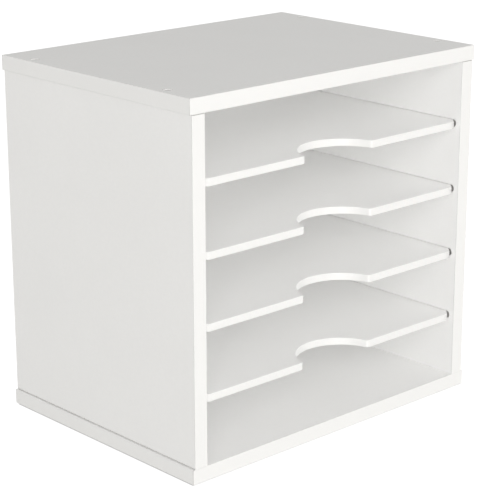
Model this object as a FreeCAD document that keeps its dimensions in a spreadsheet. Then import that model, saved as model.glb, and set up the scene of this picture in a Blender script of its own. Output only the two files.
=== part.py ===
import FreeCAD, Part
import os
import Sketcher

# Desktop file organizer: a white box of faced board, open in front, with four
# fixed shelves that make five equal compartments.
#
# Millimetres. +Z is up, the open front faces -Y, +X is to the right of someone
# looking at the front. The origin is at the centre of the footprint, on the
# surface that the foot pads stand on.
#
# How it is put together: the two sides stand on the bottom board and carry the
# top board. Each of the four corner joints has two wooden dowels and two screws.
# Before the second side goes on, the shelves are laid in the sides' stopped
# grooves and the thin back board in its own groove, so all of them are captive.
# All narrow faces of the boards carry a glued edge band.

Vector = FreeCAD.Vector
doc = FreeCAD.newDocument("file_organizer")

# ---------------------------------------------------------------- dimensions
SIZES = [
    ("width", 330, "overall, across the top and bottom boards"),
    ("depth", 243, "overall, front to back"),
    ("board_thickness", 13, "top, bottom and side boards"),
    ("side_overhang", 2, "top and bottom boards stand proud of the sides by this"),
    ("bay_height", 53, "clear height of each of the five compartments"),
    ("band_thickness", 0.8, "glued edge bands"),
    ("band_rounding", 0.5, "outer long edges of the bands"),
    ("shelf_thickness", 6.5, ""),
    ("shelf_setback", 3, "shelf front behind the front face"),
    ("shelf_corner_cut", 10.5, "front corners cut at 45 degrees"),
    ("shelf_end_gap", 0.25, "shelf end to the floor of its groove"),
    ("shelf_rear_gap", 0.5, "shelf to the back board"),
    ("groove_depth", 5, "shelf grooves in the sides"),
    ("groove_height", 6.8, "shelf grooves: the shelf lies on the lower face"),
    ("groove_nose", 5.25, "round end of the groove behind the front face"),
    ("scoop_radius", 40, "finger scoop"),
    ("scoop_depth", 32, "finger scoop behind the shelf's front edge"),
    ("scoop_corner", 3, "rounded corners where the scoop meets the edge"),
    ("back_thickness", 3, ""),
    ("back_inset", 5, "back board ahead of the rear face"),
    ("back_groove_width", 3.4, ""),
    ("back_groove_depth", 5, ""),
    ("back_bite", 4.5, "how far the back board reaches into its grooves"),
    ("screw_inset", 36, "screw axes from the front and rear faces"),
    ("screw_bore", 4.4, "clearance hole in the top and bottom boards"),
    ("screw_major", 3.9, "thread crests, and the pilot in the side boards"),
    ("screw_minor", 2.8, "thread roots"),
    ("screw_shank", 3.4, "plain part below the head"),
    ("screw_pitch", 1.8, ""),
    ("screw_reach", 30, "length under the head"),
    ("screw_head", 7.2, "head diameter"),
    ("head_height", 2.2, ""),
    ("recess_length", 4.4, "cross recess, tip to tip"),
    ("recess_width", 1.1, ""),
    ("recess_depth", 1.3, ""),
    ("counterbore_width", 8, ""),
    ("counterbore_depth", 4, ""),
    ("pilot_depth", 22, "in the ends of the sides"),
    ("dowel_width", 6, ""),
    ("dowel_length", 24, ""),
    ("dowel_inset", 72, "dowel axes from the front and rear faces"),
    ("dowel_panel_hole", 8.5, "blind holes in the top and bottom boards"),
    ("dowel_panel_bite", 8, ""),
    ("dowel_side_hole", 16.5, ""),
    ("dowel_chamfer", 0.8, ""),
    ("cap_width", 7.9, "screw caps, pressed into the counterbores"),
    ("cap_lip", 0.5, "flat ring round the cap's dish"),
    ("cap_slope", 0.25, "the dish wall leans in by this"),
    ("dish_depth", 0.7, ""),
    ("foot_width", 12, "foot pads"),
    ("foot_height", 1, ""),
    ("foot_inset", 17, "pad axes from the outer faces"),
    ("foot_rounding", 0.25, ""),
]

sheet = doc.addObject("Spreadsheet::Sheet", "sizes")
for row, (word, number, note) in enumerate(SIZES, start=1):
    sheet.set("A%d" % row, word)
    sheet.set("B%d" % row, str(number))
    sheet.setAlias("B%d" % row, word)
    sheet.set("C%d" % row, note)
doc.recompute()


class Size:
    """A length: its present number and the sheet formula that drives it."""

    def __init__(self, number, text):
        self.number = float(number)
        self.text = text

    @staticmethod
    def of(thing):
        return thing if isinstance(thing, Size) else Size(thing, repr(thing))

    def __add__(self, other):
        other = Size.of(other)
        return Size(self.number + other.number, "(%s + %s)" % (self.text, other.text))

    def __sub__(self, other):
        other = Size.of(other)
        return Size(self.number - other.number, "(%s - %s)" % (self.text, other.text))

    def __mul__(self, factor):
        return Size(self.number * factor, "(%s * %s)" % (self.text, repr(factor)))

    def __truediv__(self, factor):
        return Size(self.number / factor, "(%s / %s)" % (self.text, repr(factor)))

    def __neg__(self):
        return Size(-self.number, "(0 - %s)" % self.text)


class Sizes:
    pass


S = Sizes()
for word, number, note in SIZES:
    setattr(S, word, Size(number, "sizes.%s" % word))
ZERO = Size(0, "0")

# lengths that follow from the sheet
S.side_height = S.bay_height * 5 + S.shelf_thickness * 4
S.inner_width = S.width - S.side_overhang * 2 - S.board_thickness * 2
S.left = -(S.width / 2)
S.front = -(S.depth / 2)
S.core_width = S.width - S.band_thickness * 2
S.core_depth = S.depth - S.band_thickness * 2
S.bottom_z = S.foot_height
S.side_z = S.bottom_z + S.board_thickness
S.top_z = S.side_z + S.side_height
S.side_axis = S.side_overhang + S.board_thickness / 2  # from the outer side faces
S.shelf_length = S.inner_width + S.groove_depth * 2 - S.shelf_end_gap * 2
S.shelf_depth = (
    S.depth - S.shelf_setback - S.back_inset - S.back_thickness - S.shelf_rear_gap
)
S.bay_pitch = S.bay_height + S.shelf_thickness

NODES = {}  # node name: (object, number of separate solids)
CUTS = []  # (feature, volume that it must take away or add)


# ------------------------------------------------------------------- helpers
def place(thing, x, y, z, turn=None):
    """Puts an object at (x, y, z), with the position driven by the sheet."""
    thing.Placement = FreeCAD.Placement(
        Vector(x.number, y.number, z.number), turn or FreeCAD.Rotation()
    )
    for letter, size in (("x", x), ("y", y), ("z", z)):
        thing.setExpression("Placement.Base." + letter, size.text)


def new_body(name, x, y, z, solids=1, turn=None):
    body = doc.addObject("PartDesign::Body", name)
    body.Label = name
    body.AllowCompound = solids > 1
    place(body, x, y, z, turn)
    NODES[name] = (body, solids)
    return body


def origin_part(body, role):
    for feature in body.Origin.OriginFeatures:
        if feature.Role == role:
            return feature
    raise ValueError(role)


class Drawing:
    """A fully dimensioned sketch on one of a body's own origin planes."""

    def __init__(self, body, name, role="XY_Plane", lift=ZERO):
        self.sketch = body.newObject("Sketcher::SketchObject", name)
        self.sketch.AttachmentSupport = [(origin_part(body, role), "")]
        self.sketch.MapMode = "FlatFace"
        if lift is not ZERO:
            self.sketch.AttachmentOffset = FreeCAD.Placement(
                Vector(0, 0, lift.number), FreeCAD.Rotation()
            )
            self.sketch.setExpression("AttachmentOffset.Base.z", lift.text)
        self.sketch.Visibility = False

    def rule(self, *words):
        return self.sketch.addConstraint(Sketcher.Constraint(*words))

    def fix(self, geo, point, x, y):
        """Dimensions one point from the sketch's origin."""
        for kind, axis, size in (("DistanceX", -2, x), ("DistanceY", -1, y)):
            if size is ZERO:
                self.rule("PointOnObject", geo, point, axis)
            elif size.number >= 0:
                n = self.rule(kind, -1, 1, geo, point, size.number)
                self.sketch.setExpression("Constraints[%d]" % n, size.text)
            else:
                n = self.rule(kind, geo, point, -1, 1, -size.number)
                self.sketch.setExpression("Constraints[%d]" % n, (-size).text)

    def outline(self, points):
        """A closed outline of straight lines through dimensioned corners."""
        first = self.sketch.GeometryCount
        count = len(points)
        for i in range(count):
            a, b = points[i], points[(i + 1) % count]
            self.sketch.addGeometry(
                Part.LineSegment(
                    Vector(a[0].number, a[1].number, 0),
                    Vector(b[0].number, b[1].number, 0),
                ),
                False,
            )
        for i in range(count):
            self.rule("Coincident", first + i, 2, first + (i + 1) % count, 1)
        for i, (x, y) in enumerate(points):
            self.fix(first + i, 1, x, y)
        return self

    def rectangle(self, x0, y0, x1, y1):
        return self.outline([(x0, y0), (x1, y0), (x1, y1), (x0, y1)])

    def circle(self, x, y, across):
        radius = across / 2
        geo = self.sketch.addGeometry(
            Part.Circle(Vector(x.number, y.number, 0), Vector(0, 0, 1), radius.number),
            False,
        )
        self.fix(geo, 3, x, y)
        n = self.rule("Radius", geo, radius.number)
        self.sketch.setExpression("Constraints[%d]" % n, radius.text)
        return self


def finish(body, feature):
    body.Tip = feature
    doc.recompute()
    return feature


def pad(body, name, drawing, length, back=False):
    feature = body.newObject("PartDesign::Pad", name)
    feature.Profile = drawing.sketch
    feature.Length = length.number
    feature.setExpression("Length", length.text)
    feature.Reversed = back
    return finish(body, feature)


def pocket(body, name, drawing, deep, back=False, takes=None):
    feature = body.newObject("PartDesign::Pocket", name)
    feature.Profile = drawing.sketch
    feature.Length = deep.number
    feature.setExpression("Length", deep.text)
    feature.Reversed = back
    if takes is not None:
        CUTS.append((feature, takes))
    return finish(body, feature)


def hole(body, name, drawing, across, deep=None, counterbore=None, back=False, takes=None):
    """Round holes at the circles of a sketch, blind or right through."""
    doc.recompute()
    feature = body.newObject("PartDesign::Hole", name)
    feature.Profile = drawing.sketch
    feature.Threaded = False
    feature.Diameter = across.number
    feature.setExpression("Diameter", across.text)
    if deep is None:
        feature.DepthType = "ThroughAll"
    else:
        feature.DepthType = "Dimension"
        feature.Depth = deep.number
        feature.setExpression("Depth", deep.text)
    feature.DrillPoint = "Flat"
    if counterbore:
        feature.HoleCutType = "Counterbore"
        feature.HoleCutCustomValues = True
        feature.HoleCutDiameter = counterbore[0].number
        feature.HoleCutDepth = counterbore[1].number
        feature.setExpression("HoleCutDiameter", counterbore[0].text)
        feature.setExpression("HoleCutDepth", counterbore[1].text)
    feature.Reversed = back
    if takes is not None:
        CUTS.append((feature, takes))
    return finish(body, feature)


def edges(feature, wanted):
    """Names of the feature's edges whose middle and direction are wanted."""
    names = []
    for n, edge in enumerate(feature.Shape.Edges, start=1):
        low, high = edge.ParameterRange
        middle = edge.valueAt((low + high) / 2)
        along = edge.tangentAt((low + high) / 2)
        if wanted(middle, along, edge):
            names.append("Edge%d" % n)
    return names


def fillet(body, name, base, names, radius):
    feature = body.newObject("PartDesign::Fillet", name)
    feature.Base = (base, names)
    feature.Radius = radius.number
    feature.setExpression("Radius", radius.text)
    return finish(body, feature)


def chamfer(body, name, base, names, size):
    feature = body.newObject("PartDesign::Chamfer", name)
    feature.Base = (base, names)
    feature.Size = size.number
    feature.setExpression("Size", size.text)
    return finish(body, feature)


def row_of(body, name, originals, axis, length, count):
    feature = body.newObject("PartDesign::LinearPattern", name)
    feature.Originals = originals
    feature.Direction = (origin_part(body, axis), [""])
    feature.Length = length.number
    feature.setExpression("Length", length.text)
    feature.Occurrences = count
    return finish(body, feature)


def four_of(body, name, original, across, along):
    """Copies a whole body to the four corners of a rectangle."""
    feature = body.newObject("PartDesign::LinearPattern", name)
    feature.TransformMode = "Whole shape"
    feature.Direction = (origin_part(body, "X_Axis"), [""])
    feature.Length = across.number
    feature.setExpression("Length", across.text)
    feature.Occurrences = 2
    feature.Direction2 = (origin_part(body, "Y_Axis"), [""])
    feature.Length2 = along.number
    feature.setExpression("Length2", along.text)
    feature.Occurrences2 = 2
    return finish(body, feature)


def near(a, b, by=0.01):
    return abs(a - b) < by


PI = 3.141592653589793

# positions along a board's core, from its own front left corner
near_x = S.side_axis - S.band_thickness
far_x = S.width - S.side_axis - S.band_thickness
screw_near = S.screw_inset - S.band_thickness
screw_far = S.depth - S.screw_inset - S.band_thickness
dowel_near = S.dowel_inset - S.band_thickness
dowel_far = S.depth - S.dowel_inset - S.band_thickness
back_rear = S.depth - S.back_inset - S.band_thickness  # rear face of the back board
back_front = back_rear - S.back_groove_width


# ------------------------------------------------- top and bottom boards
def flat_board(name, z, upside_down):
    """A board with four counterbored screw holes, four dowel holes and the back's groove.

    Its outer face has the counterbores. The inner face has the rest. For the
    top board the outer face is the upper one, for the bottom board the lower.
    """
    body = new_body(name, S.left + S.band_thickness, S.front + S.band_thickness, z)
    slab = Drawing(body, name + "_outline").rectangle(ZERO, ZERO, S.core_width, S.core_depth)
    pad(body, name + "_slab", slab, S.board_thickness)
    outer = ZERO if upside_down else S.board_thickness
    inner = S.board_thickness if upside_down else ZERO

    groove = Drawing(body, name + "_back_groove_outline", lift=inner).rectangle(
        S.side_overhang + S.board_thickness - S.back_groove_depth - S.band_thickness,
        back_front,
        S.width
        - S.side_overhang
        - S.board_thickness
        + S.back_groove_depth
        - S.band_thickness,
        back_rear,
    )
    length = S.inner_width.number + 2 * S.back_groove_depth.number
    pocket(
        body,
        name + "_back_groove",
        groove,
        S.back_groove_depth,
        back=not upside_down,
        takes=length * S.back_groove_width.number * S.back_groove_depth.number,
    )

    screws = Drawing(body, name + "_screw_centres", lift=outer)
    for x in (near_x, far_x):
        for y in (screw_near, screw_far):
            screws.circle(x, y, S.screw_bore)
    bore = PI / 4 * S.screw_bore.number ** 2
    wide = PI / 4 * S.counterbore_width.number ** 2
    hole(
        body,
        name + "_screw_holes",
        screws,
        S.screw_bore,
        counterbore=(S.counterbore_width, S.counterbore_depth),
        back=upside_down,
        takes=4
        * (
            bore * (S.board_thickness.number - S.counterbore_depth.number)
            + wide * S.counterbore_depth.number
        ),
    )

    dowels = Drawing(body, name + "_dowel_centres", lift=inner)
    for x in (near_x, far_x):
        for y in (dowel_near, dowel_far):
            dowels.circle(x, y, S.dowel_width)
    hole(
        body,
        name + "_dowel_holes",
        dowels,
        S.dowel_width,
        deep=S.dowel_panel_hole,
        back=not upside_down,
        takes=4 * PI / 4 * S.dowel_width.number ** 2 * S.dowel_panel_hole.number,
    )
    return body


flat_board("top_panel", S.top_z, upside_down=False)
flat_board("bottom_panel", S.bottom_z, upside_down=True)


# ------------------------------------------------------------------- sides
def side_board(name, left):
    """A side board: four stopped shelf grooves and the back's groove on its inner face."""
    if left:
        x = S.left + S.side_overhang
        inner = S.board_thickness
    else:
        x = -S.left - S.side_overhang - S.board_thickness
        inner = ZERO
    body = new_body(name, x, S.front + S.band_thickness, S.side_z)
    slab = Drawing(body, name + "_outline").rectangle(
        ZERO, ZERO, S.board_thickness, S.core_depth
    )
    pad(body, name + "_slab", slab, S.side_height)

    # the back's groove, from the lower to the upper end
    back = Drawing(body, name + "_back_groove_outline", "YZ_Plane", inner).rectangle(
        back_front, ZERO, back_rear, S.side_height
    )
    pocket(
        body,
        name + "_back_groove",
        back,
        S.back_groove_depth,
        back=not left,
        takes=S.back_groove_width.number * S.back_groove_depth.number * S.side_height.number,
    )

    # the lowest shelf's groove: a round end in front, open into the back's groove
    radius = S.groove_height / 2
    centre = S.groove_nose + radius - S.band_thickness
    low = S.bay_height
    high = S.bay_height + S.groove_height
    drawing = Drawing(body, name + "_shelf_groove_outline", "YZ_Plane", inner)
    sk = drawing.sketch
    sk.addGeometry(
        Part.LineSegment(
            Vector(centre.number, low.number, 0), Vector(back_rear.number, low.number, 0)
        ),
        False,
    )
    sk.addGeometry(
        Part.LineSegment(
            Vector(back_rear.number, low.number, 0), Vector(back_rear.number, high.number, 0)
        ),
        False,
    )
    sk.addGeometry(
        Part.LineSegment(
            Vector(back_rear.number, high.number, 0), Vector(centre.number, high.number, 0)
        ),
        False,
    )
    sk.addGeometry(
        Part.Arc(
            Vector(centre.number, high.number, 0),
            Vector(centre.number - radius.number, (low.number + high.number) / 2, 0),
            Vector(centre.number, low.number, 0),
        ),
        False,
    )
    drawing.rule("Coincident", 0, 2, 1, 1)
    drawing.rule("Coincident", 1, 2, 2, 1)
    drawing.rule("Tangent", 2, 2, 3, 1)
    drawing.rule("Tangent", 3, 2, 0, 1)
    drawing.fix(0, 2, back_rear, low)
    drawing.fix(1, 2, back_rear, high)
    drawing.rule("Horizontal", 0)
    n = drawing.rule("DistanceX", -1, 1, 3, 3, centre.number)
    sk.setExpression("Constraints[%d]" % n, centre.text)
    first = pocket(body, name + "_shelf_groove", drawing, S.groove_depth, back=not left)
    straight = back_front.number - centre.number
    one = (
        straight * S.groove_height.number + PI / 2 * radius.number ** 2
    ) * S.groove_depth.number
    CUTS.append((first, one))
    rest = row_of(
        body, name + "_shelf_grooves", [first], "Z_Axis", S.bay_pitch * 3, 4
    )
    CUTS.append((rest, 3 * one))

    middle = S.board_thickness / 2
    for end, lift, back_way in (("lower", ZERO, True), ("upper", S.side_height, False)):
        pilots = Drawing(body, name + "_%s_pilot_centres" % end, lift=lift)
        sockets = Drawing(body, name + "_%s_dowel_centres" % end, lift=lift)
        for y in (screw_near, screw_far):
            pilots.circle(middle, y, S.screw_major)
        for y in (dowel_near, dowel_far):
            sockets.circle(middle, y, S.dowel_width)
        hole(
            body,
            name + "_%s_pilots" % end,
            pilots,
            S.screw_major,
            deep=S.pilot_depth,
            back=back_way,
            takes=2 * PI / 4 * S.screw_major.number ** 2 * S.pilot_depth.number,
        )
        hole(
            body,
            name + "_%s_dowel_holes" % end,
            sockets,
            S.dowel_width,
            deep=S.dowel_side_hole,
            back=back_way,
            takes=2 * PI / 4 * S.dowel_width.number ** 2 * S.dowel_side_hole.number,
        )
    return body


side_board("left_side_panel", left=True)
side_board("right_side_panel", left=False)


# ------------------------------------------------------------------- shelves
def shelf(name, number_from_bottom):
    """A thin board with a finger scoop, and its front corners cut off at 45 degrees."""
    rise = S.bay_height * number_from_bottom + S.shelf_thickness * (number_from_bottom - 1)
    body = new_body(
        name, -(S.shelf_length / 2), S.front + S.shelf_setback, S.side_z + rise
    )
    slab = Drawing(body, name + "_outline").rectangle(
        ZERO, ZERO, S.shelf_length, S.shelf_depth
    )
    pad(body, name + "_slab", slab, S.shelf_thickness)
    middle = S.shelf_length / 2
    behind = S.scoop_depth - S.scoop_radius
    scoop = Drawing(body, name + "_scoop_outline", lift=S.shelf_thickness).circle(
        middle, behind, S.scoop_radius * 2
    )
    cut = pocket(body, name + "_scoop", scoop, S.shelf_thickness)
    sag = -behind.number
    radius = S.scoop_radius.number
    half = (radius**2 - sag**2) ** 0.5
    corners = edges(
        cut,
        lambda at, along, edge: near(abs(along.z), 1)
        and near(at.y, 0)
        and near(abs(at.x - middle.number), half, 0.05),
    )
    soft = fillet(body, name + "_scoop_corners", cut, corners, S.scoop_corner)
    ends = edges(
        soft,
        lambda at, along, edge: near(abs(along.z), 1)
        and near(at.y, 0)
        and (near(at.x, 0) or near(at.x, S.shelf_length.number)),
    )
    if len(corners) != 2 or len(ends) != 2:
        raise RuntimeError("the corners of %s weren't found" % name)
    chamfer(body, name + "_corner_cuts", soft, ends, S.shelf_corner_cut)
    return body


for place_from_top, place_from_bottom in ((1, 4), (2, 3), (3, 2), (4, 1)):
    shelf("shelf_%d" % place_from_top, place_from_bottom)

# ---------------------------------------------------------------- back board
back = new_body(
    "back_panel",
    -(S.inner_width / 2) - S.back_bite,
    -S.front - S.back_inset - S.back_thickness,
    S.side_z - S.back_bite,
)
outline = Drawing(back, "back_outline").rectangle(
    ZERO, ZERO, S.inner_width + S.back_bite * 2, S.back_thickness
)
pad(back, "back_slab", outline, S.side_height + S.back_bite * 2)


# ---------------------------------------------------------------- edge bands
def band(name, x, y, z, size, faces, wraps=False):
    """A strip of edge band, its outer long edges rounded.

    faces is the axis and side that the strip's show face looks to. wraps says
    that the strip covers the ends of its neighbours, so its ends are rounded too.
    """
    body = new_body(name, x, y, z)
    outline = Drawing(body, name + "_outline").rectangle(ZERO, ZERO, size[0], size[1])
    slab = pad(body, name + "_strip", outline, size[2])
    axis, side = faces
    level = 0 if side < 0 else size["xyz".index(axis)].number
    lengthwise = max("xyz", key=lambda a: size["xyz".index(a)].number)

    def wanted(at, along, edge):
        if not near(getattr(at, axis), level):
            return False
        return wraps or near(abs(getattr(along, lengthwise)), 1)

    fillet(body, name + "_rounding", slab, edges(slab, wanted), S.band_rounding)
    return body


t = S.band_thickness
b = S.board_thickness
for level, z in (("top", S.top_z), ("bottom", S.bottom_z)):
    band(level + "_front_edge_band", S.left, S.front, z, (S.width, t, b), ("y", -1), True)
    band(level + "_rear_edge_band", S.left, -S.front - t, z, (S.width, t, b), ("y", 1), True)
    band(level + "_left_edge_band", S.left, S.front + t, z, (t, S.core_depth, b), ("x", -1))
    band(level + "_right_edge_band", -S.left - t, S.front + t, z, (t, S.core_depth, b), ("x", 1))
for side, x in (
    ("left", S.left + S.side_overhang),
    ("right", -S.left - S.side_overhang - S.board_thickness),
):
    band(side + "_side_front_edge_band", x, S.front, S.side_z, (b, t, S.side_height), ("y", -1))
    band(side + "_side_rear_edge_band", x, -S.front - t, S.side_z, (b, t, S.side_height), ("y", 1))


# ------------------------------------------------------------------ fasteners
apart_x = S.width - S.side_axis * 2
screw_apart = S.depth - S.screw_inset * 2
dowel_apart = S.depth - S.dowel_inset * 2


def screws(name, y, z, turn):
    """Four screws with a cross recess. The thread is a row of ridges round the shank.

    The body's own origin is at the point of the first screw, which points down.
    """
    body = new_body(name, S.left + S.side_axis, y, z, solids=4, turn=turn)
    minor, major = S.screw_minor / 2, S.screw_major / 2
    shank, head = S.screw_shank / 2, S.screw_head / 2
    ridges = 10
    points = [(ZERO, ZERO)]
    foot = S.screw_pitch * 1.2
    points.append((minor, foot))
    for i in range(ridges):
        low = foot + S.screw_pitch * i
        points.append((major, low + S.screw_pitch * 0.4))
        points.append((minor, low + S.screw_pitch * 0.8))
        if i < ridges - 1:
            points.append((minor, low + S.screw_pitch))
    top = S.screw_reach + S.head_height
    points += [
        (shank, foot + S.screw_pitch * (ridges + 0.2)),
        (shank, S.screw_reach),
        (head, S.screw_reach),
        (head, top - S.head_height / 3),
        (head - S.head_height / 5, top),
        (ZERO, top),
    ]
    drawing = Drawing(body, name + "_profile", "XZ_Plane").outline(points)
    turned = body.newObject("PartDesign::Revolution", name + "_turned")
    turned.Profile = drawing.sketch
    turned.ReferenceAxis = (drawing.sketch, ["V_Axis"])
    turned.Angle = 360
    finish(body, turned)

    long, thin = S.recess_length / 2, S.recess_width / 2
    cross = Drawing(body, name + "_recess_outline", lift=top).outline(
        [
            (-long, -thin), (-thin, -thin), (-thin, -long), (thin, -long),
            (thin, -thin), (long, -thin), (long, thin), (thin, thin),
            (thin, long), (-thin, long), (-thin, thin), (-long, thin),
        ]
    )
    area = 2 * S.recess_length.number * S.recess_width.number - S.recess_width.number ** 2
    recess = pocket(
        body, name + "_recess", cross, S.recess_depth, takes=area * S.recess_depth.number
    )
    four_of(body, name + "_all", recess, apart_x, screw_apart)
    return body


# under the head: the floor of the counterbore
screws(
    "top_screws",
    S.front + S.screw_inset,
    S.top_z + S.board_thickness - S.counterbore_depth - S.screw_reach,
    None,
)
screws(
    "bottom_screws",
    -S.front - S.screw_inset,
    S.bottom_z + S.counterbore_depth + S.screw_reach,
    FreeCAD.Rotation(Vector(1, 0, 0), 180),
)


def dowels(name, z):
    body = new_body(name, S.left + S.side_axis, S.front + S.dowel_inset, z, solids=4)
    drawing = Drawing(body, name + "_outline").circle(ZERO, ZERO, S.dowel_width)
    plain = pad(body, name + "_plain", drawing, S.dowel_length)
    rims = edges(
        plain,
        lambda at, along, edge: near(edge.Length, PI * S.dowel_width.number, 0.01),
    )
    if len(rims) != 2:
        raise RuntimeError("the ends of %s weren't found" % name)
    eased = chamfer(body, name + "_eased", plain, rims, S.dowel_chamfer)
    four_of(body, name + "_all", eased, apart_x, dowel_apart)
    return body


dowels("top_dowels", S.top_z + S.dowel_panel_bite - S.dowel_length)
dowels("bottom_dowels", S.side_z - S.dowel_panel_bite)

# screw caps: dished plugs that stand on the screw heads, flush with the top board
cap_height = S.counterbore_depth - S.head_height
caps = new_body(
    "top_screw_caps",
    S.left + S.side_axis,
    S.front + S.screw_inset,
    S.top_z + S.board_thickness - cap_height,
    solids=4,
)
drawing = Drawing(caps, "cap_profile", "XZ_Plane")
rim = S.cap_width / 2
lip = rim - S.cap_lip
dish = lip - S.cap_slope
low = cap_height - S.dish_depth
corners = [(ZERO, low), (ZERO, ZERO), (rim, ZERO), (rim, cap_height), (lip, cap_height), (dish, low)]
for a, c in zip(corners, corners[1:] + corners[:1]):
    drawing.sketch.addGeometry(
        Part.LineSegment(
            Vector(a[0].number, a[1].number, 0), Vector(c[0].number, c[1].number, 0)
        ),
        False,
    )
for i in range(6):
    drawing.rule("Coincident", i, 2, (i + 1) % 6, 1)
for i, (x, y) in enumerate(corners):
    drawing.fix(i, 1, x, y)
turned = caps.newObject("PartDesign::Revolution", "cap_turned")
turned.Profile = drawing.sketch
turned.ReferenceAxis = (drawing.sketch, ["V_Axis"])
turned.Angle = 360
finish(caps, turned)
four_of(caps, "cap_all", turned, apart_x, screw_apart)

# foot pads
feet = new_body("foot_pads", S.left + S.foot_inset, S.front + S.foot_inset, ZERO, solids=4)
drawing = Drawing(feet, "foot_outline").circle(ZERO, ZERO, S.foot_width)
disc = pad(feet, "foot_disc", drawing, S.foot_height)
rims = edges(
    disc,
    lambda at, along, edge: near(at.z, 0)
    and near(edge.Length, PI * S.foot_width.number, 0.01),
)
soft = fillet(feet, "foot_soft", disc, rims, S.foot_rounding)
four_of(
    feet,
    "foot_all",
    soft,
    S.width - S.foot_inset * 2,
    S.depth - S.foot_inset * 2,
)

# -------------------------------------------------------------------- checks
doc.recompute()
problems = []
for thing in doc.Objects:
    for state in thing.State:
        if "Invalid" in state or "Error" in state:
            problems.append("%s is %s" % (thing.Name, state))
for feature, volume in CUTS:
    before = feature.BaseFeature.Shape.Volume
    change = before - feature.Shape.Volume
    if abs(change - volume) > 0.002 * volume + 0.01:
        problems.append(
            "%s takes away %.2f and not %.2f mm3" % (feature.Name, change, volume)
        )
for name, (thing, solids) in NODES.items():
    shape = thing.Shape
    if shape.isNull() or not shape.isValid():
        problems.append("%s has no valid shape" % name)
    elif len(shape.Solids) != solids:
        problems.append("%s has %d solids, not %d" % (name, len(shape.Solids), solids))
if problems:
    raise RuntimeError("; ".join(problems))

os.makedirs("parts", exist_ok=True)
whole = FreeCAD.BoundBox()
for name, (thing, solids) in NODES.items():
    thing.Shape.exportStep("parts/%s.step" % name)
    whole.add(thing.Shape.BoundBox)
    box = thing.Shape.BoundBox
    print(
        "%-30s %d solid(s) %9.1f mm3  x %.2f..%.2f  y %.2f..%.2f  z %.2f..%.2f"
        % (name, solids, thing.Shape.Volume, box.XMin, box.XMax, box.YMin, box.YMax, box.ZMin, box.ZMax)
    )
print("%d nodes" % len(NODES))
print(
    "overall %.2f x %.2f x %.2f mm, from z %.2f"
    % (whole.XLength, whole.YLength, whole.ZLength, whole.ZMin)
)
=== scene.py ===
import math

import bmesh
import bpy
from mathutils import Matrix, Vector


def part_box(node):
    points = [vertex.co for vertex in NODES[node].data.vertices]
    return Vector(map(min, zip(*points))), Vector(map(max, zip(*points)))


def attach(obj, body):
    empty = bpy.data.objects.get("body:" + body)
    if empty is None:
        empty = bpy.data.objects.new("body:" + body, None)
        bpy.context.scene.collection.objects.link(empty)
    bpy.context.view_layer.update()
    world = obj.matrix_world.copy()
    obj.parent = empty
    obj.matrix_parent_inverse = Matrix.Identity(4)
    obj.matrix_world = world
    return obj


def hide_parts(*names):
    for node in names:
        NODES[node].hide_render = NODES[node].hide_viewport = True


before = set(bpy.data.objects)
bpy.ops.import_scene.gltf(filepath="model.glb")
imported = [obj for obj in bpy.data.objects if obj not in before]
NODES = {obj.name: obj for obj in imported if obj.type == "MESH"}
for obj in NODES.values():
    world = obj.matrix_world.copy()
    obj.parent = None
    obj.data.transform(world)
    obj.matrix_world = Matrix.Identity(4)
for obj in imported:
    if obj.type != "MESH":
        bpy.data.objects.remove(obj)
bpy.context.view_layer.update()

MM = 0.001

scene = bpy.context.scene
scene.view_settings.view_transform = "Standard"
scene.view_settings.look = "None"
scene.view_settings.exposure = 0.0
scene.view_settings.gamma = 1.0
scene.cycles.max_bounces = 24
scene.cycles.diffuse_bounces = 16
scene.cycles.glossy_bounces = 4


# ---------------------------------------------------------------- camera and light

WARM = (1.0, 0.990, 0.966)


def add_camera():
    cam = bpy.data.objects.new("camera", bpy.data.cameras.new("camera"))
    scene.collection.objects.link(cam)
    cam.data.sensor_fit = "HORIZONTAL"
    cam.data.sensor_width = 36.0
    cam.data.lens = 1740.3 * 36.0 / 500.0
    cam.data.clip_start, cam.data.clip_end = 0.05, 60.0
    cam.location = (-1005.83 * MM, -1090.43 * MM, 592.25 * MM)
    yaw, pitch = 0.7499, 0.2974
    ahead = Vector((math.sin(yaw) * math.cos(pitch), math.cos(yaw) * math.cos(pitch), -math.sin(pitch)))
    cam.rotation_mode = "QUATERNION"
    cam.rotation_quaternion = ahead.to_track_quat("-Z", "Y")
    scene.camera = cam


def add_area(name, power, size, spot, aim, colour=WARM, shine=True):
    lamp = bpy.data.lights.new(name, "AREA")
    lamp.shape = "RECTANGLE"
    lamp.size, lamp.size_y = size
    lamp.energy = power
    lamp.color = colour
    ob = bpy.data.objects.new(name, lamp)
    ob.location = spot
    ob.rotation_mode = "QUATERNION"
    ob.rotation_quaternion = (Vector(aim) - Vector(spot)).to_track_quat("-Z", "Y")
    ob.visible_camera = False
    ob.visible_glossy = shine
    scene.collection.objects.link(ob)
    return ob


SKY = 0.567
GROUND_PAINT = 0.25
GROUND_GLOW = 0.53
GROUND_SEEN = 0.92
GROUND_FAR = 0.475
BACKDROP_LOW, BACKDROP_HIGH = 0.62, 0.56


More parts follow.
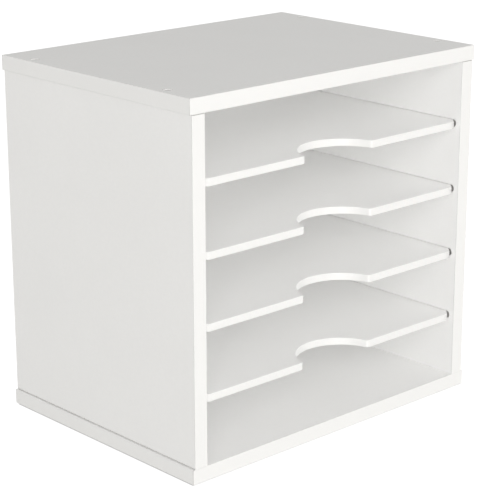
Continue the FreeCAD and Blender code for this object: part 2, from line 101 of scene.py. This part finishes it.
def add_world():
    world = bpy.data.worlds.new("studio")
    scene.world = world
    world.use_nodes = True
    nt = world.node_tree
    nt.nodes.clear()
    out = nt.nodes.new("ShaderNodeOutputWorld")
    soft = nt.nodes.new("ShaderNodeBackground")
    soft.inputs["Color"].default_value = (1.0, 0.993, 0.975, 1.0)
    soft.inputs["Strength"].default_value = SKY
    seen = nt.nodes.new("ShaderNodeBackground")
    seen.inputs["Color"].default_value = (1.0, 1.0, 1.0, 1.0)
    way = nt.nodes.new("ShaderNodeTexCoord")
    xyz = nt.nodes.new("ShaderNodeSeparateXYZ")
    rise = nt.nodes.new("ShaderNodeMapRange")
    rise.interpolation_type = "SMOOTHSTEP"
    for socket, value in (("From Min", 0.0), ("From Max", 0.15), ("To Min", BACKDROP_LOW), ("To Max", BACKDROP_HIGH)):
        rise.inputs[socket].default_value = value
    nt.links.new(way.outputs["Generated"], xyz.inputs[0])
    nt.links.new(xyz.outputs["Z"], rise.inputs["Value"])
    nt.links.new(rise.outputs["Result"], seen.inputs["Strength"])
    mix = nt.nodes.new("ShaderNodeMixShader")
    path = nt.nodes.new("ShaderNodeLightPath")
    nt.links.new(path.outputs["Is Camera Ray"], mix.inputs[0])
    nt.links.new(soft.outputs[0], mix.inputs[1])
    nt.links.new(seen.outputs[0], mix.inputs[2])
    nt.links.new(mix.outputs[0], out.inputs["Surface"])


# ---------------------------------------------------------------- materials

class Shade:
    """A node material made a few nodes at a time. Every texture reads object coordinates, which are metres in the frame."""

    def __init__(self, name):
        self.mat = bpy.data.materials.new(name)
        self.mat.use_nodes = True
        self.nt = self.mat.node_tree
        self.nt.nodes.clear()
        self.out = self.nt.nodes.new("ShaderNodeOutputMaterial")
        self.bsdf = self.nt.nodes.new("ShaderNodeBsdfPrincipled")
        self.nt.links.new(self.bsdf.outputs[0], self.out.inputs["Surface"])
        self.coord = self.nt.nodes.new("ShaderNodeTexCoord")

    def link(self, a, b):
        self.nt.links.new(a, b)

    def where(self, scale=(1, 1, 1), turn=(0, 0, 0)):
        m = self.nt.nodes.new("ShaderNodeMapping")
        m.inputs["Scale"].default_value = scale
        m.inputs["Rotation"].default_value = turn
        self.link(self.coord.outputs["Object"], m.inputs["Vector"])
        return m.outputs["Vector"]

    def noise(self, scale, detail=3.0, rough=0.5, vector=None, distortion=0.0):
        n = self.nt.nodes.new("ShaderNodeTexNoise")
        n.inputs["Scale"].default_value = scale
        n.inputs["Detail"].default_value = detail
        n.inputs["Roughness"].default_value = rough
        n.inputs["Distortion"].default_value = distortion
        self.link(vector if vector is not None else self.coord.outputs["Object"], n.inputs["Vector"])
        return n.outputs["Fac"]

    def cells(self, scale, vector=None, feature="F1", what="Distance", randomness=1.0):
        n = self.nt.nodes.new("ShaderNodeTexVoronoi")
        n.feature = feature
        n.inputs["Scale"].default_value = scale
        n.inputs["Randomness"].default_value = randomness
        self.link(vector if vector is not None else self.coord.outputs["Object"], n.inputs["Vector"])
        return n.outputs[what]

    def span(self, value, a0, a1, b0, b1, smooth=False):
        n = self.nt.nodes.new("ShaderNodeMapRange")
        n.interpolation_type = "SMOOTHSTEP" if smooth else "LINEAR"
        n.inputs["From Min"].default_value = a0
        n.inputs["From Max"].default_value = a1
        n.inputs["To Min"].default_value = b0
        n.inputs["To Max"].default_value = b1
        self.link(value, n.inputs["Value"])
        return n.outputs["Result"]

    def math(self, op, a, b=None):
        n = self.nt.nodes.new("ShaderNodeMath")
        n.operation = op
        for i, v in enumerate((a, b)):
            if v is None:
                continue
            if isinstance(v, (int, float)):
                n.inputs[i].default_value = v
            else:
                self.link(v, n.inputs[i])
        return n.outputs[0]

    def tint(self, fac, dark, light):
        n = self.nt.nodes.new("ShaderNodeMix")
        n.data_type = "RGBA"
        if isinstance(fac, (int, float)):
            n.inputs[0].default_value = fac
        else:
            self.link(fac, n.inputs[0])
        for i, c in ((6, dark), (7, light)):
            if isinstance(c, tuple):
                n.inputs[i].default_value = (*c, 1.0)
            else:
                self.link(c, n.inputs[i])
        return n.outputs[2]

    def bump(self, height, depth, strength=1.0, under=None):
        n = self.nt.nodes.new("ShaderNodeBump")
        n.inputs["Strength"].default_value = strength
        n.inputs["Distance"].default_value = depth
        self.link(height, n.inputs["Height"])
        if under is not None:
            self.link(under, n.inputs["Normal"])
        return n.outputs["Normal"]

    def facing_up(self):
        """1 on level faces, 0 on upright ones."""
        g = self.nt.nodes.new("ShaderNodeNewGeometry")
        s = self.nt.nodes.new("ShaderNodeSeparateXYZ")
        self.link(g.outputs["Normal"], s.inputs[0])
        return self.span(self.math("ABSOLUTE", s.outputs["Z"]), 0.25, 0.75, 0.0, 1.0, smooth=True)

    def squarely_front(self):
        """1 on faces that look along Y, 0 on those turned 45 degrees or more from it."""
        g = self.nt.nodes.new("ShaderNodeNewGeometry")
        s = self.nt.nodes.new("ShaderNodeSeparateXYZ")
        self.link(g.outputs["Normal"], s.inputs[0])
        return self.span(self.math("ABSOLUTE", s.outputs["Y"]), 0.70, 0.98, 0.0, 1.0, smooth=True)

    def done(self, colour, roughness, normal=None, **sockets):
        b = self.bsdf
        if isinstance(colour, tuple):
            b.inputs["Base Color"].default_value = (*colour, 1.0)
        else:
            self.link(colour, b.inputs["Base Color"])
        if isinstance(roughness, (int, float)):
            b.inputs["Roughness"].default_value = roughness
        else:
            self.link(roughness, b.inputs["Roughness"])
        if normal is not None:
            self.link(normal, b.inputs["Normal"])
        for name, value in sockets.items():
            b.inputs[name.replace("_", " ")].default_value = value
        return self.mat


def shade_of(colour, k):
    return tuple(c * k for c in colour)


def melamine(name, colour, lo=0.40, hi=0.50):
    """Resin-faced board: a fine pearl emboss, faint clouding of the white, a few soft rub marks."""
    s = Shade(name)
    cloud = s.noise(11.0, 3.0, 0.55)
    pearl = s.noise(340.0, 4.0, 0.6)
    grain = s.cells(2300.0, feature="SMOOTH_F1")
    fine = s.noise(5200.0, 2.0, 0.5)
    rub = s.span(s.noise(26.0, 5.0, 0.6, s.where((1.0, 0.22, 0.22), (0.2, 0.3, 0.4)), 0.6), 0.60, 0.72, 0.0, 1.0, smooth=True)
    base = s.tint(s.span(cloud, 0.3, 0.7, 0.0, 0.016), colour, (0.0, 0.0, 0.0))
    base = s.tint(s.span(pearl, 0.32, 0.72, 0.0, 0.016), base, (0.0, 0.0, 0.0))
    rough = s.math("ADD", s.span(pearl, 0.3, 0.7, lo, hi), s.math("MULTIPLY", rub, -0.07))
    n = s.bump(cloud, 0.0012, 0.35)
    n = s.bump(pearl, 0.00010, 0.7, n)
    n = s.bump(grain, 0.00004, 0.6, n)
    n = s.bump(fine, 0.00001, 0.5, n)
    return s.done(base, rough, n, IOR=1.49)


def banding(name, colour, axis):
    """Extruded edge band: hairlines along its length and a slightly softer gloss than the board."""
    s = Shade(name)
    run = [1.0, 1.0, 1.0]
    run[axis] = 0.02
    lines = s.noise(2600.0, 2.0, 0.5, s.where(tuple(run)))
    wide = s.noise(420.0, 3.0, 0.5, s.where(tuple(run)))
    cloud = s.noise(16.0, 2.0, 0.5)
    base = s.tint(s.span(cloud, 0.3, 0.7, 0.0, 1.0), shade_of(colour, 0.985), colour)
    base = s.tint(s.span(lines, 0.35, 0.65, 0.0, 0.5), base, shade_of(colour, 0.985))
    rough = s.span(wide, 0.3, 0.7, 0.34, 0.44)
    n = s.bump(wide, 0.00004, 0.5)
    n = s.bump(lines, 0.000012, 0.6, n)
    return s.done(base, rough, n, IOR=1.49)


def lacquer(name, colour, edge, scoop):
    """Sprayed lacquer on fibreboard: orange peel on the level faces, fibre tooth on the cut edges, specks of dust. The
    one paint takes three whites by facing, for the level faces, the faces square to the front, and the scoop and other
    turned faces: painted light and shade.
    """
    s = Shade(name)
    level = s.facing_up()
    cloud = s.noise(13.0, 3.0, 0.5)
    peel = s.noise(420.0, 2.0, 0.45)
    tooth = s.noise(1500.0, 4.0, 0.65, s.where((1.0, 1.0, 0.35)))
    dust = s.span(s.cells(170.0), 0.035, 0.055, 1.0, 0.0)
    # painted light and shade by facing: level faces lightest, faces square to the front darkest, turned faces in
    # between
    base = s.tint(level, s.tint(s.squarely_front(), scoop, edge), colour)
    base = s.tint(s.span(cloud, 0.3, 0.7, 0.0, 0.015), base, (0.0, 0.0, 0.0))
    base = s.tint(s.span(peel, 0.3, 0.7, 0.0, 0.012), base, (0.0, 0.0, 0.0))
    flat_rough = s.math("MULTIPLY", level, s.span(peel, 0.3, 0.7, 0.36, 0.46))
    cut_rough = s.math("MULTIPLY", s.math("SUBTRACT", 1.0, level), s.span(tooth, 0.3, 0.7, 0.44, 0.56))
    rough = s.math("ADD", flat_rough, cut_rough)
    n = s.bump(peel, 0.00009, 0.45)
    n = s.bump(s.math("MULTIPLY", tooth, s.math("SUBTRACT", 1.0, level)), 0.00007, 0.6, n)
    n = s.bump(dust, 0.00003, 0.4, n)
    return s.done(base, rough, n, IOR=1.49)


def hardboard(name, colour):
    """Thin painted backing board: the paint follows the pressed fibres under it."""
    s = Shade(name)
    cloud = s.noise(9.0, 3.0, 0.5)
    fibre = s.noise(700.0, 5.0, 0.7, s.where((1.0, 1.0, 0.4)))
    screen = s.cells(900.0, feature="SMOOTH_F1", randomness=0.35)
    base = s.tint(s.span(cloud, 0.3, 0.7, 0.0, 1.0), shade_of(colour, 0.975), colour)
    base = s.tint(s.span(fibre, 0.35, 0.7, 0.0, 0.6), base, shade_of(colour, 0.975))
    rough = s.span(fibre, 0.3, 0.7, 0.5, 0.64)
    n = s.bump(cloud, 0.0015, 0.35)
    n = s.bump(fibre, 0.00008, 0.6, n)
    n = s.bump(screen, 0.00003, 0.4, n)
    return s.done(base, rough, n, IOR=1.49)


def chipboard(name):
    """The bare core of the boards, which shows only inside grooves and holes."""
    s = Shade(name)
    chip = s.cells(520.0, s.where((1.0, 0.55, 1.6)), what="Color")
    split = s.nt.nodes.new("ShaderNodeSeparateColor")
    s.link(chip, split.inputs[0])
    dusty = s.noise(1400.0, 5.0, 0.7)
    base = s.tint(split.outputs[0], (0.30, 0.205, 0.125), (0.47, 0.35, 0.235))
    base = s.tint(s.span(dusty, 0.4, 0.7, 0.0, 0.5), base, (0.22, 0.15, 0.095))
    n = s.bump(split.outputs[1], 0.00016, 0.7)
    n = s.bump(dusty, 0.00012, 0.8, n)
    return s.done(base, s.span(dusty, 0.3, 0.7, 0.78, 0.92), n, IOR=1.45)


def primer(name):
    """White primer brushed into the side boards' grooves: matt, thin over the chips."""
    s = Shade(name)
    chip = s.noise(900.0, 4.0, 0.65)
    base = s.tint(s.span(chip, 0.35, 0.65, 0.0, 1.0), (0.62, 0.617, 0.610), (0.76, 0.758, 0.752))
    n = s.bump(chip, 0.00012, 0.7)
    return s.done(base, s.span(chip, 0.3, 0.7, 0.7, 0.85), n, IOR=1.45)


def glue_and_painted_shade_line(name):
    """The hairline between a board's facing and its edge band: partly glue and a trace of dust, partly painted shade,
    since the dark colour also fills the seams and joint gaps where it is used.
    """
    s = Shade(name)
    dirt = s.noise(620.0, 4.0, 0.6)
    base = s.tint(s.span(dirt, 0.3, 0.7, 0.0, 1.0), (0.36, 0.35, 0.335), (0.52, 0.51, 0.495))
    return s.done(base, s.span(dirt, 0.3, 0.7, 0.6, 0.75), s.bump(dirt, 0.00005, 0.5), IOR=1.45)


def plastic(name, colour):
    """Moulded cap: spark-eroded texture, matt. The copy on the dish floor is given a darker colour: painted shade in
    the recess.
    """
    s = Shade(name)
    spark = s.cells(5200.0, feature="SMOOTH_F1")
    soft = s.noise(900.0, 3.0, 0.5)
    base = s.tint(s.span(soft, 0.3, 0.7, 0.0, 1.0), shade_of(colour, 0.98), colour)
    n = s.bump(soft, 0.00003, 0.5)
    n = s.bump(spark, 0.00003, 0.6, n)
    return s.done(base, s.span(soft, 0.3, 0.7, 0.36, 0.48), n, IOR=1.46)


def zinc(name):
    """Zinc-plated steel: pale blue-grey, cloudy passivation, rolled thread marks."""
    s = Shade(name)
    cloud = s.noise(420.0, 4.0, 0.6)
    marks = s.noise(2600.0, 3.0, 0.6, s.where((1.0, 1.0, 0.12)))
    base = s.tint(s.span(cloud, 0.35, 0.65, 0.0, 1.0), (0.52, 0.54, 0.56), (0.70, 0.70, 0.67))
    n = s.bump(marks, 0.00003, 0.6)
    return s.done(base, s.span(cloud, 0.3, 0.7, 0.26, 0.44), n, Metallic=1.0)


def beech(name):
    """Dowel wood: straight grain along the dowel with short rays."""
    s = Shade(name)
    grain = s.noise(1500.0, 4.0, 0.6, s.where((1.0, 1.0, 0.05)))
    ray = s.span(s.noise(2600.0, 2.0, 0.5, s.where((1.0, 1.0, 0.12))), 0.58, 0.7, 0.0, 1.0)
    base = s.tint(s.span(grain, 0.3, 0.7, 0.0, 1.0), (0.50, 0.33, 0.19), (0.68, 0.49, 0.30))
    base = s.tint(s.math("MULTIPLY", ray, 0.5), base, (0.40, 0.25, 0.14))
    return s.done(base, s.span(grain, 0.3, 0.7, 0.6, 0.75), s.bump(grain, 0.0001, 0.6), IOR=1.45)


def foam(name):
    """Anti-slip foam: closed cells and a dusty dark grey."""
    s = Shade(name)
    cell = s.cells(2400.0)
    big = s.noise(700.0, 3.0, 0.6)
    base = s.tint(s.span(cell, 0.1, 0.7, 0.0, 1.0), (0.030, 0.030, 0.031), (0.060, 0.060, 0.060))
    base = s.tint(s.span(big, 0.4, 0.7, 0.0, 0.4), base, (0.085, 0.083, 0.080))
    n = s.bump(cell, 0.00018, 0.9)
    return s.done(base, s.span(big, 0.3, 0.7, 0.78, 0.92), n, IOR=1.4)


def floor_paint(name):
    """Pale seamless studio floor that glows softly, as a lit white sweep does. Its glow is turned down under the object
    and just round its footprint, a painted contact shadow, and it is greyer far away.
    """
    s = Shade(name)
    cloud = s.noise(2.2, 3.0, 0.5)
    fine = s.noise(160.0, 3.0, 0.6)
    paint = s.tint(s.span(cloud, 0.3, 0.7, 0.0, 1.0), (GROUND_PAINT,) * 3, (GROUND_PAINT * 1.05,) * 3)
    s.done(paint, 0.85, s.bump(fine, 0.0002, 0.3), Specular_IOR_Level=0.0)
    path = s.nt.nodes.new("ShaderNodeLightPath")
    s.link(s.tint(path.outputs["Is Camera Ray"], WARM, (1.0, 1.0, 1.0)), s.bsdf.inputs["Emission Color"])
    xyz = s.nt.nodes.new("ShaderNodeSeparateXYZ")
    s.link(s.coord.outputs["Object"], xyz.inputs[0])
    # painted contact shadow: the glow drops to 0.12 under the object's footprint
    out_x = s.span(s.math("ABSOLUTE", xyz.outputs["X"]), 0.1626, 0.1654, 0.0, 1.0, smooth=True)
    out_y = s.span(s.math("ABSOLUTE", xyz.outputs["Y"]), 0.1172, 0.1212, 0.0, 1.0, smooth=True)
    clear = s.span(s.math("MAXIMUM", out_x, out_y), 0.0, 1.0, 0.12, 1.0)
    mix = s.nt.nodes.new("ShaderNodeMix")
    s.link(path.outputs["Is Camera Ray"], mix.inputs[0])
    mix.inputs[2].default_value = GROUND_GLOW
    x2 = s.math("MULTIPLY", xyz.outputs["X"], xyz.outputs["X"])
    y2 = s.math("MULTIPLY", xyz.outputs["Y"], xyz.outputs["Y"])
    radius = s.math("SQRT", s.math("ADD", x2, y2))
    s.link(s.span(radius, 3.3, 9.0, GROUND_SEEN, GROUND_FAR, smooth=True), mix.inputs[3])
    s.link(s.math("MULTIPLY", mix.outputs[0], clear), s.bsdf.inputs["Emission Strength"])
    return s.mat


WHITE_BOARD = (0.870, 0.870, 0.867)
# inside the box the same faced board takes lighter whites: painted light on its inner faces
WHITE_INSIDE_PAINTED_LIGHT = (0.975, 0.975, 0.974)
WHITE_WALL_PAINTED_LIGHT = (0.953, 0.953, 0.952)
WHITE_BAND = (0.849, 0.848, 0.843)
# one shelf paint in three whites by facing: painted light and shade
WHITE_SHELF_PAINTED_LIGHT = (0.980, 0.980, 0.979)
WHITE_CUT_PAINTED_SHADE = (0.858, 0.857, 0.852)
WHITE_SCOOP_PAINTED_SHADE = (0.935, 0.934, 0.930)

M = {
    "board": melamine("faced_board", WHITE_BOARD),
    "board_inside": melamine("faced_board_inner_face_painted_light", WHITE_INSIDE_PAINTED_LIGHT, 0.44, 0.54),
    "wall_inside": melamine("faced_board_side_wall_painted_light", WHITE_WALL_PAINTED_LIGHT, 0.44, 0.54),
    "core": chipboard("board_core"),
    "primer": primer("groove_primer"),
    "glue_and_painted_shade": glue_and_painted_shade_line("glue_and_painted_shade_line"),
    "band_x": banding("edge_band_along_x", WHITE_BAND, 0),
    "band_y": banding("edge_band_along_y", WHITE_BAND, 1),
    "band_z": banding("edge_band_along_z", WHITE_BAND, 2),
    "shelf": lacquer("shelf_lacquer", WHITE_SHELF_PAINTED_LIGHT, WHITE_CUT_PAINTED_SHADE, WHITE_SCOOP_PAINTED_SHADE),
    # the backing board's white is set high to lift the light inside the closed box: partly its own colour, partly
    # painted light
    "back": hardboard("back_board", (0.976, 0.976, 0.975)),
    "cap": plastic("cap_plastic", (0.88, 0.879, 0.872)),
    "cap_dish_painted_shade": plastic("cap_plastic_dish_painted_shade", (0.66, 0.655, 0.645)),
    "steel": zinc("screw_steel"),
    "dowel": beech("dowel_wood"),
    "foam": foam("foot_foam"),
    "floor": floor_paint("studio_floor"),
}


# ---------------------------------------------------------------- mesh helpers

def finish_piece(name, bm, mats, nodes, sharp=35.0):
    """Turns a bmesh into a piece that stands for its CAD nodes and rides on the one body."""
    bmesh.ops.recalc_face_normals(bm, faces=bm.faces)
    me = bpy.data.meshes.new(name)
    bm.to_mesh(me)
    bm.free()
    for m in mats:
        me.materials.append(M[m])
    for p in me.polygons:
        p.use_smooth = True
    me.set_sharp_from_angle(angle=math.radians(sharp))
    ob = bpy.data.objects.new(name, me)
    scene.collection.objects.link(ob)
    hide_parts(*nodes)
    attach(ob, "root")
    return ob


def add_bevel(ob, width, segments=2, angle=40.0, material=-1):
    b = ob.modifiers.new("soft_edges", "BEVEL")
    b.width = width
    b.segments = segments
    b.limit_method = "ANGLE"
    b.angle_limit = math.radians(angle)
    b.harden_normals = True
    b.use_clamp_overlap = True
    b.material = material
    w = ob.modifiers.new("flat_normals", "WEIGHTED_NORMAL")
    w.keep_sharp = True
    return ob


def cad_shape(node):
    """A clean bmesh with the same shape as a CAD node: shared vertices, flat regions joined."""
    src = NODES[node].data
    bm = bmesh.new()
    verts = [bm.verts.new(v.co) for v in src.vertices]
    for p in src.polygons:
        try:
            bm.faces.new([verts[i] for i in p.vertices])
        except ValueError:
            pass
    bmesh.ops.remove_doubles(bm, verts=bm.verts, dist=2e-6)
    bmesh.ops.dissolve_degenerate(bm, dist=1e-7, edges=bm.edges)
    bmesh.ops.recalc_face_normals(bm, faces=bm.faces)
    bmesh.ops.dissolve_limit(bm, angle_limit=math.radians(0.3), verts=bm.verts, edges=bm.edges)
    return bm


def lathe(profile, centre, steps=64, bm=None):
    """A closed solid of revolution round the upright line through centre. profile is (radius, z), from axis to axis."""
    bm = bm or bmesh.new()
    rings = []
    for r, z in profile:
        if r < 1e-9:
            rings.append([bm.verts.new((centre[0], centre[1], z))])
        else:
            rings.append([
                bm.verts.new((centre[0] + r * math.cos(2 * math.pi * k / steps), centre[1] + r * math.sin(2 * math.pi * k / steps), z))
                for k in range(steps)
            ])
    for a, b in zip(rings, rings[1:]):
        for k in range(steps):
            n = (k + 1) % steps
            if len(a) == 1:
                bm.faces.new((a[0], b[k], b[n]))
            elif len(b) == 1:
                bm.faces.new((a[k], a[n], b[0]))
            else:
                bm.faces.new((a[k], a[n], b[n], b[k]))
    return bm


def arc(cx, cy, r, a0, a1, n, ends=(True, True)):
    pts = [(cx + r * math.cos(math.radians(a0 + (a1 - a0) * i / n)), cy + r * math.sin(math.radians(a0 + (a1 - a0) * i / n))) for i in range(n + 1)]
    return pts[0 if ends[0] else 1: None if ends[1] else -1]


# ---------------------------------------------------------------- the shelves

SHELF_FRONT, SHELF_REAR, SHELF_HALF = -118.5, 113.0, 154.75
CORNER_CUT = 10.5
SCOOP_Y, SCOOP_R, SCOOP_FILLET = -126.5, 40.0, 3.0
SHELF_T = 6.5


def shelf_front():
    """The front edge from left to right, seen from above: cut corner, straight, fillet, scoop, and the same mirrored."""
    fy = SHELF_FRONT + SCOOP_FILLET
    fx = math.sqrt((SCOOP_R + SCOOP_FILLET) ** 2 - (fy - SCOOP_Y) ** 2)
    meet = math.degrees(math.atan2(fy - SCOOP_Y, fx))
    x0 = SHELF_HALF - CORNER_CUT
    pts = [(-SHELF_HALF, SHELF_FRONT + CORNER_CUT), (-x0, SHELF_FRONT)]
    pts += [(-x0 + (x0 - fx) * i / 16, SHELF_FRONT) for i in range(1, 16)]
    pts += arc(-fx, fy, SCOOP_FILLET, -90.0, -meet, 12)
    pts += arc(0.0, SCOOP_Y, SCOOP_R, 180.0 - meet, meet, 120, (False, False))
    pts += arc(fx, fy, SCOOP_FILLET, 180.0 + meet, 270.0, 12)
    pts += [(fx + (x0 - fx) * i / 16, SHELF_FRONT) for i in range(1, 16)]
    pts += [(x0, SHELF_FRONT), (SHELF_HALF, SHELF_FRONT + CORNER_CUT)]
    return pts


def shelf_bmesh(z0, edge_round=0.55, rings=4, rows=14):
    """A grid of quads from the front edge to the rear one on each broad face, joined round the rim by rings of a quarter circle."""
    front = [Vector(p) for p in shelf_front()]
    cols = len(front)
    step = [(k / rows) ** 1.35 for k in range(rows + 1)]

    def at(c, k):
        return Vector((front[c].x, front[c].y + (SHELF_REAR - front[c].y) * step[k]))

    rim = [(c, 0) for c in range(cols)] + [(cols - 1, k) for k in range(1, rows)]
    rim += [(c, rows) for c in reversed(range(cols))] + [(0, k) for k in range(rows - 1, 0, -1)]
    n = len(rim)
    pts = [at(*ck) for ck in rim]
    inward = []
    for i, p in enumerate(pts):
        a, b = (p - pts[i - 1]).normalized(), (pts[(i + 1) % n] - p).normalized()
        na, nb = Vector((-a.y, a.x)), Vector((-b.y, b.x))
        m = (na + nb).normalized()
        inward.append(m / max(0.3, m.dot(na)))
    bm = bmesh.new()

    def ring(inset, z):
        return [bm.verts.new(((p.x + d.x * inset) * MM, (p.y + d.y * inset) * MM, z * MM)) for p, d in zip(pts, inward)]

    quarter = [math.pi / 2 * k / rings for k in range(rings + 1)]
    levels = [(edge_round * (1 - math.sin(t)), z0 + edge_round * (1 - math.cos(t))) for t in quarter]
    levels += [(edge_round * (1 - math.cos(t)), z0 + SHELF_T - edge_round * (1 - math.sin(t))) for t in quarter]
    loops = [ring(*lv) for lv in levels]
    for a, b in zip(loops, loops[1:]):
        for i in range(n):
            j = (i + 1) % n
            bm.faces.new((a[i], a[j], b[j], b[i]))
    for loop, z, up in ((loops[0], z0, False), (loops[-1], z0 + SHELF_T, True)):
        grid = {ck: v for ck, v in zip(rim, loop)}
        for c in range(1, cols - 1):
            for k in range(1, rows):
                p = at(c, k)
                grid[c, k] = bm.verts.new((p.x * MM, p.y * MM, z * MM))
        for c in range(cols - 1):
            for k in range(rows):
                f = (grid[c, k], grid[c + 1, k], grid[c + 1, k + 1], grid[c, k + 1])
                bm.faces.new(f if up else f[::-1])
    return bm


def add_shelves():
    for i, z0 in enumerate((245.5, 186.0, 126.5, 67.0), 1):
        ob = finish_piece(f"shelf_{i}_board", shelf_bmesh(z0), ["shelf"], [f"shelf_{i}"], sharp=50.0)
        w = ob.modifiers.new("flat_normals", "WEIGHTED_NORMAL")
        w.keep_sharp = True


# ---------------------------------------------------------------- the boards and their bands

def mark_faces(bm, axis, outer, inner):
    """Slot 0 is the board's outer broad face, slot 1 its inner one, slot 2 everything cut into it. Planes are in mm.
    Slot 3 is kept for the bevels and slot 4 for the bare ends of a side board; both take the dark glue-line colour,
    part glue and part painted shade in the joints."""
    for f in bm.faces:
        c = f.calc_center_median()[axis] / MM
        flat = abs(f.normal[axis]) > 0.99
        f.material_index = 0 if flat and abs(c - outer) < 0.02 else 1 if flat and abs(c - inner) < 0.02 else 2
        # the side board's bare ends sit in the joint gap and take the dark colour: painted shade
        if axis == 0 and abs(f.normal.z) > 0.9 and min(abs(f.calc_center_median().z / MM - z) for z in (14.0, 305.0)) < 1.0:
            f.material_index = 4


def ease_ends(bm, side):
    """The facing stops a hair short of a side board's ends, so a narrow dark joint shows above the bottom board and under the top one."""
    out = side * 163.0 * MM
    geom = list(bm.verts) + list(bm.edges) + list(bm.faces)
    bmesh.ops.bisect_plane(bm, geom=geom, dist=1e-7, plane_co=(side * 161.4 * MM, 0, 0), plane_no=(1, 0, 0))
    for v in bm.verts:
        if abs(v.co.x - out) < 2e-5:
            if abs(v.co.z - 14.0 * MM) < 2e-5:
                v.co.z += 0.60 * MM
            elif abs(v.co.z - 305.0 * MM) < 2e-5:
                v.co.z -= 0.30 * MM


def add_boards():
    # the inner broad faces take the lighter copies of the board's white: painted light inside the box
    for node, axis, outer, inner, face, cut in (
        ("top_panel", 2, 318.0, 305.0, "board_inside", "core"), ("bottom_panel", 2, 1.0, 14.0, "board_inside", "core"),
        ("left_side_panel", 0, -163.0, -150.0, "wall_inside", "primer"), ("right_side_panel", 0, 163.0, 150.0, "wall_inside", "primer"),
    ):
        bm = cad_shape(node)
        bm.normal_update()
        mark_faces(bm, axis, outer, inner)
        if axis == 0:
            ease_ends(bm, 1 if outer > 0 else -1)
        ob = finish_piece(node + "_board", bm, ["board", face, cut, "glue_and_painted_shade", "glue_and_painted_shade"], [node], sharp=30.0)
        # the bevels take the dark glue-line colour: part glue line, part painted shade along the seams
        add_bevel(ob, 0.24 * MM, 2, 40.0, 3)
    bm = cad_shape("back_panel")
    ob = finish_piece("back_panel_board", bm, ["back"], ["back_panel"], sharp=30.0)
    add_bevel(ob, 0.3 * MM, 2, 40.0)


def add_bands():
    for node in NODES:
        if not node.endswith("_edge_band"):
            continue
        lo, hi = (Vector(c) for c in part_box(node))
        axis = max(range(3), key=lambda k: hi[k] - lo[k])
        bm = cad_shape(node)
        for v in bm.verts:
            if "_side_" in node and v.co.z > hi.z - 2e-5:
                v.co.z -= 0.45 * MM
            elif axis == 1 and min(v.co.y - lo.y, hi.y - v.co.y) < 2e-5:
                v.co.y -= math.copysign(0.22 * MM, v.co.y)
        bm.normal_update()
        for f in bm.faces:
            # band end faces sit in the seams and take the dark colour: painted shade
            f.material_index = 1 if axis > 0 and abs(f.normal[axis]) > 0.9 else 0
        ob = finish_piece(node + "_strip", bm, ["band_" + "xyz"[axis], "glue_and_painted_shade"], [node], sharp=30.0)
        add_bevel(ob, 0.08 * MM, 1, 40.0)


# ---------------------------------------------------------------- small parts

def add_caps():
    """Dished plugs, flush with the top board. Every edge of the profile is eased."""
    bm = bmesh.new()
    prof = [(0.0, 316.2), (3.7, 316.2), (3.87, 316.25), (3.95, 316.4), (3.95, 317.84), (3.93, 317.93), (3.86, 317.98), (3.78, 318.0)]
    prof += [(3.56, 318.0), (3.49, 317.98), (3.43, 317.92), (3.40, 317.82), (3.27, 317.45), (3.22, 317.36), (3.12, 317.31), (3.0, 317.3), (1.4, 317.3), (0.0, 317.3)]
    for x in (-156.5, 156.5):
        for y in (-85.5, 85.5):
            lathe([(r * MM, z * MM) for r, z in prof], (x * MM, y * MM), 72, bm)
    for f in bm.faces:
        # the dish floor takes the darker plastic: painted shade in the recess
        f.material_index = 1 if 317.28 < f.calc_center_median().z / MM < 317.34 else 0
    finish_piece("top_screw_caps_plugs", bm, ["cap", "cap_dish_painted_shade"], ["top_screw_caps"], sharp=50.0)


def add_pads():
    bm = bmesh.new()
    prof = [(0.0, 0.0), (5.2, 0.0), (5.6, 0.05), (5.88, 0.2), (6.0, 0.45), (5.97, 0.7), (5.86, 0.9), (5.8, 1.0), (0.0, 1.0)]
    for x in (-148.0, 148.0):
        for y in (-104.5, 104.5):
            lathe([(r * MM, z * MM) for r, z in prof], (x * MM, y * MM), 72, bm)
    finish_piece("foot_pads_foam", bm, ["foam"], ["foot_pads"], sharp=50.0)


def paint_cad(node, mat):
    ob = NODES[node]
    if not ob.data.materials:
        ob.data.materials.append(M[mat])
    for sl in ob.material_slots:
        sl.link = "OBJECT"
        sl.material = M[mat]


def add_floor():
    bm = bmesh.new()
    rings, steps, far = 24, 96, 14.0
    loops = []
    for k in range(1, rings + 1):
        r = far * (k / rings) ** 2
        loops.append([bm.verts.new((r * math.cos(2 * math.pi * j / steps), r * math.sin(2 * math.pi * j / steps), 0.0)) for j in range(steps)])
    mid = bm.verts.new((0.0, 0.0, 0.0))
    for j in range(steps):
        bm.faces.new((mid, loops[0][j], loops[0][(j + 1) % steps]))
    for a, b in zip(loops, loops[1:]):
        for j in range(steps):
            n = (j + 1) % steps
            bm.faces.new((a[j], b[j], b[n], a[n]))
    me = bpy.data.meshes.new("floor")
    bm.to_mesh(me)
    bm.free()
    me.materials.append(M["floor"])
    ob = bpy.data.objects.new("floor", me)
    scene.collection.objects.link(ob)


add_camera()
add_world()
MIDDLE = (0.0, 0.0, 0.16)
add_area("key_left_front", 29.6, (1.8, 1.4), (-1.9, -2.1, 1.0), MIDDLE)
add_area("front_low", 20.2, (1.6, 0.7), (0.7, -2.85, 0.35), MIDDLE, shine=False)
add_area("front_high", 2.5, (2.0, 1.5), (-0.3, -2.2, 1.9), MIDDLE)
add_area("right_fill", 13.0, (1.8, 1.4), (2.9, 0.7, 0.7), MIDDLE)
add_area("rear_fill", 15.0, (1.8, 1.4), (-0.6, 3.0, 0.8), MIDDLE)
add_shelves()
add_boards()
add_bands()
add_caps()
add_pads()
for n, m in (("top_screws", "steel"), ("bottom_screws", "steel"), ("top_dowels", "dowel"), ("bottom_dowels", "dowel")):
    paint_cad(n, m)
add_floor()
